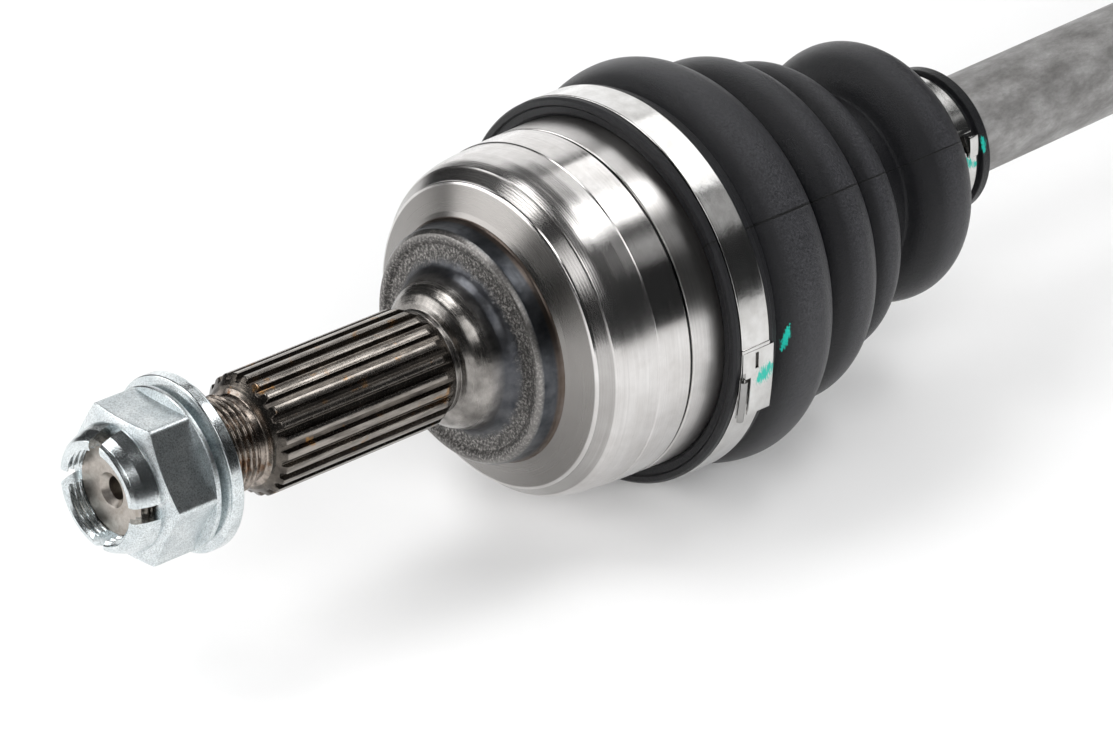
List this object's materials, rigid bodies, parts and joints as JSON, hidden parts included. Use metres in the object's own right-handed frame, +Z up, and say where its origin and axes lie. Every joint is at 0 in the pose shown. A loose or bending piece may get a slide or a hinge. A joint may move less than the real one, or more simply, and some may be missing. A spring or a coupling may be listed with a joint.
{
  "type": "drive shaft",
  "caption": "Front drive shaft with a splined and threaded hub stub, ball joint under a folded rubber boot, solid bar and plunging tripod joint.",
  "frame": {"origin": "centre of the hub seat, where the stub's spline ends at the boss of the outer joint", "axes": "+X along the stub's axis from the nut towards the gearbox, +Z up, with both bending hinges along Z; the bar lies 2.8 degrees off X about Z at rest"},
  "size_m": [0.6506, 0.1106, 0.095],
  "materials": {
    "zinc_plate": "bright bluish zinc plate",
    "housing_steel": "turned bright on the bell, dark forging scale on the boss and spline",
    "bearing_steel": "ground and polished",
    "race_steel": "hardened and ground",
    "bar_steel": "raw rolled bar, mottled grey",
    "boot_rubber": "matte black with a fine grain",
    "clamp_steel": "bright stainless strip",
    "tulip_steel": "dark forging scale with turned ends",
    "spring_steel": "oiled spring steel",
    "cup_steel": "pressed and hardened"
  },
  "bodies": {
    "shaft": {"shaft_bar": "bar_steel", "outer_race": "race_steel", "race_snap_ring": "spring_steel", "outer_clamp_small": "clamp_steel", "outer_clamp_small_lock": "clamp_steel", "inner_clamp_small": "clamp_steel", "inner_clamp_small_lock": "clamp_steel", "tripod_spider": "race_steel", "spider_snap_ring": "spring_steel", "needles_1": "bearing_steel", "needles_2": "bearing_steel", "needles_3": "bearing_steel", "roller_retainer_1": "spring_steel", "roller_retainer_2": "spring_steel", "roller_retainer_3": "spring_steel"},
    "wheel_joint": {"outer_housing": "housing_steel", "outer_boot": "boot_rubber", "outer_clamp_large": "clamp_steel", "outer_clamp_large_lock": "clamp_steel"},
    "ball_cage": {"outer_cage": "race_steel", "ball_1": "bearing_steel", "ball_2": "bearing_steel", "ball_3": "bearing_steel", "ball_4": "bearing_steel", "ball_5": "bearing_steel", "ball_6": "bearing_steel"},
    "washer": {"nut_washer": "zinc_plate"},
    "nut": {"hub_nut": "zinc_plate"},
    "thrust_cup": {"thrust_cup": "cup_steel", "thrust_spring": "spring_steel"},
    "gearbox_joint": {"tulip_housing": "tulip_steel", "inner_boot": "boot_rubber", "inner_clamp_large": "clamp_steel", "inner_clamp_large_lock": "clamp_steel", "gearbox_snap_ring": "spring_steel"},
    "roller_1": {"roller_1": "bearing_steel"},
    "roller_2": {"roller_2": "bearing_steel"},
    "roller_3": {"roller_3": "bearing_steel"}
  },
  "joints": [
    {"name": "outer_bend", "type": "hinge", "parent": "shaft", "child": "wheel_joint", "pos_m": [0.037, 0, 0], "axis": [0, 0, 1], "range_deg": [-42.2, 47.8], "deforming": ["outer_boot"]},
    {"name": "cage_turn", "type": "hinge", "parent": "shaft", "child": "ball_cage", "pos_m": [0.037, 0, 0], "axis": [0, 0, 1], "range_deg": [-21.2, 24]},
    {"name": "nut_travel", "type": "slide", "parent": "wheel_joint", "child": "washer", "axis": [1, 0, 0], "range_m": [-0.0121, 0.0121]},
    {"name": "nut_turn", "type": "hinge", "parent": "washer", "child": "nut", "pos_m": [-0.0876, 0, 0], "axis": [1, 0, 0], "range_deg": [-2880, 2880]},
    {"name": "inner_bend", "type": "hinge", "parent": "shaft", "child": "thrust_cup", "pos_m": [0.43652, 0.01954, 0], "axis": [0, 0, 1], "range_deg": [-20, 20], "deforming": ["inner_boot"]},
    {"name": "plunge", "type": "slide", "parent": "thrust_cup", "child": "gearbox_joint", "axis": [0.9988, 0.0488, 0], "range_m": [-0.012, 0.012], "deforming": ["inner_boot", "thrust_spring"]},
    {"name": "roller_1_spin", "type": "hinge", "parent": "shaft", "child": "roller_1", "pos_m": [0.4354, 0.04251, 0], "axis": [-0.0488, 0.9988, 0], "continuous": true},
    {"name": "roller_2_spin", "type": "hinge", "parent": "shaft", "child": "roller_2", "pos_m": [0.43708, 0.00805, 0.01992], "axis": [0.0244, -0.4994, 0.866], "continuous": true},
    {"name": "roller_3_spin", "type": "hinge", "parent": "shaft", "child": "roller_3", "pos_m": [0.43708, 0.00805, -0.01992], "axis": [0.0244, -0.4994, -0.866], "continuous": true}
  ],
  "couplings": [
    {"joint": "cage_turn", "follows": "outer_bend", "ratio": 0.5},
    {"joint": "nut_travel", "follows": "nut_turn", "m_per_rad": 0.00023873}
  ]
}
